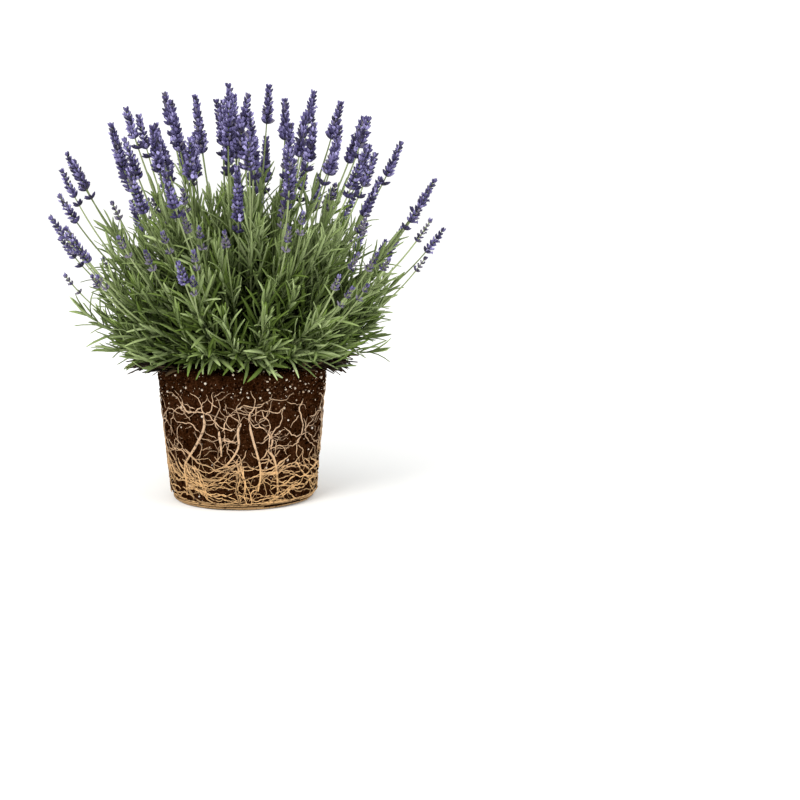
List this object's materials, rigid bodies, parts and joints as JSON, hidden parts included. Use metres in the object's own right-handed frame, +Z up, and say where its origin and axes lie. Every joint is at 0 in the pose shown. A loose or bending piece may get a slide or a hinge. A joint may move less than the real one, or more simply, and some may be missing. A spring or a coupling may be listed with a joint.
{
  "type": "lavender plant with bare root ball",
  "caption": "Bushy lavender with violet flower spikes and narrow leaves, standing on its root ball as lifted from the pot.",
  "frame": {"origin": "centre of the root ball's flat base", "axes": "+Z up along the root ball's axis, -Y towards the front, +X to the right seen from the front"},
  "size_m": [0.3814, 0.3427, 0.4026],
  "materials": {
    "soil": "matt crumbly potting mix",
    "root": "matt fibrous root",
    "wood": "rough flaking bark",
    "leaf": "matt, finely downy",
    "stalk": "matt green stalk",
    "flower": "matt, downy buds"
  },
  "bodies": {
    "root": {"soil_ball": "soil", "base_root_ring": "root", "woody_crown": "wood", "main_root_01": "root", "main_root_02": "root", "main_root_03": "root", "main_root_04": "root", "main_root_05": "root", "main_root_06": "root", "main_root_07": "root", "leafy_shoot_01": "leaf", "leafy_shoot_02": "leaf", "leafy_shoot_03": "leaf", "leafy_shoot_04": "leaf", "leafy_shoot_05": "leaf", "leafy_shoot_06": "leaf", "leafy_shoot_07": "leaf", "leafy_shoot_08": "leaf", "leafy_shoot_09": "leaf", "leafy_shoot_10": "leaf", "leafy_shoot_11": "leaf", "leafy_shoot_12": "leaf", "leafy_shoot_13": "leaf", "leafy_shoot_14": "leaf", "leafy_shoot_15": "leaf", "low_shoot_01": "leaf", "low_shoot_02": "leaf", "low_shoot_03": "leaf", "low_shoot_04": "leaf", "low_shoot_05": "leaf", "flower_stalk_01": "stalk", "flower_stalk_02": "stalk", "flower_stalk_03": "stalk", "flower_stalk_04": "stalk", "flower_stalk_05": "stalk", "flower_stalk_06": "stalk", "flower_stalk_07": "stalk", "flower_stalk_08": "stalk", "flower_stalk_09": "stalk", "flower_stalk_10": "stalk", "flower_stalk_11": "stalk", "flower_stalk_12": "stalk", "flower_stalk_13": "stalk", "flower_stalk_14": "stalk", "flower_stalk_15": "stalk", "flower_spike_01": "flower", "flower_spike_02": "flower", "flower_spike_03": "flower", "flower_spike_04": "flower", "flower_spike_05": "flower", "flower_spike_06": "flower", "flower_spike_07": "flower", "flower_spike_08": "flower", "flower_spike_09": "flower", "flower_spike_10": "flower", "flower_spike_11": "flower", "flower_spike_12": "flower", "flower_spike_13": "flower", "flower_spike_14": "flower", "flower_spike_15": "flower"}
  },
  "joints": []
}
